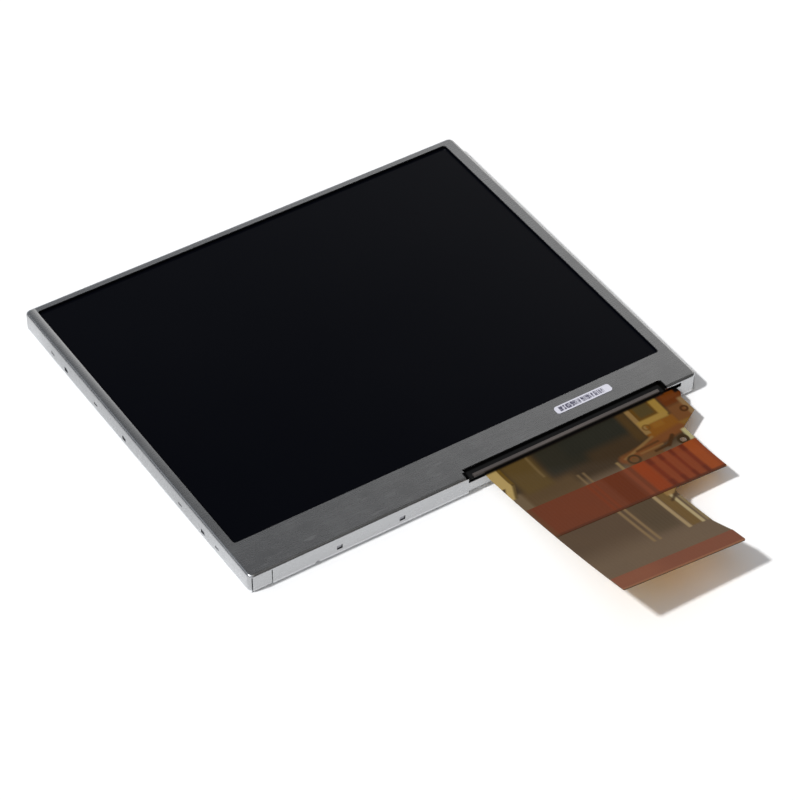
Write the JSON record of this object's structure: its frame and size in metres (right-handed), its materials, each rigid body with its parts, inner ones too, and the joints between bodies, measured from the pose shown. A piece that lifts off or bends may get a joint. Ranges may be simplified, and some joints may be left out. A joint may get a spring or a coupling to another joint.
{
  "type": "lcd display module",
  "caption": "Flat rectangular LCD module in a stamped metal bezel, with a wide flexible circuit tail leaving one edge and curling upwards.",
  "frame": {"origin": "centre of the module's rear face, without the flexible tail", "axes": "+X right along the long side, +Y towards the edge away from the tail, +Z out of the screen"},
  "size_m": [0.0654, 0.0844, 0.007],
  "materials": {
    "bezel_steel": "satin stamped stainless sheet",
    "chassis_steel": "plain stainless sheet",
    "black_moulding": "matt black polycarbonate",
    "white_film": "white and clear optical films",
    "acrylic": "clear acrylic",
    "black_tape": "black adhesive tape and foam",
    "lip_strip": "satin black strip",
    "polarizer_film": "black polarizer with a hard satin coat",
    "panel_glass": "thin glass",
    "seal_resin": "cured resin",
    "lamp_body": "white moulded lamp body",
    "phosphor": "yellow phosphor resin",
    "silicon": "bare dark chip",
    "amber_film": "clear amber polyimide film",
    "copper_foil": "etched copper foil under film",
    "brown_strip": "red-brown stiffening film",
    "gold_plate": "gold-plated contact fingers",
    "label_paper": "white coated label"
  },
  "bodies": {
    "root": {"front_bezel": "bezel_steel", "rear_chassis": "chassis_steel", "mould_frame": "black_moulding", "reflector_sheet": "white_film", "lower_diffuser": "white_film", "lower_prism_sheet": "white_film", "upper_prism_sheet": "white_film", "light_guide": "acrylic", "rim_tape": "black_tape", "front_gasket": "black_tape", "exit_lip_strip": "lip_strip", "lower_polarizer": "polarizer_film", "upper_polarizer": "polarizer_film", "array_glass": "panel_glass", "colour_filter_glass": "panel_glass", "liquid_crystal": "panel_glass", "cell_seal": "seal_resin", "flex_bond_film": "seal_resin", "white_leds": "lamp_body", "led_resin": "phosphor", "driver_chip": "silicon", "flex_base_film": "amber_film", "flex_cover_film": "amber_film", "led_strip_flex": "amber_film", "flex_copper": "copper_foil", "middle_strip": "brown_strip", "tail_stiffener": "brown_strip", "contact_fingers": "gold_plate", "serial_label": "label_paper"}
  },
  "joints": []
}
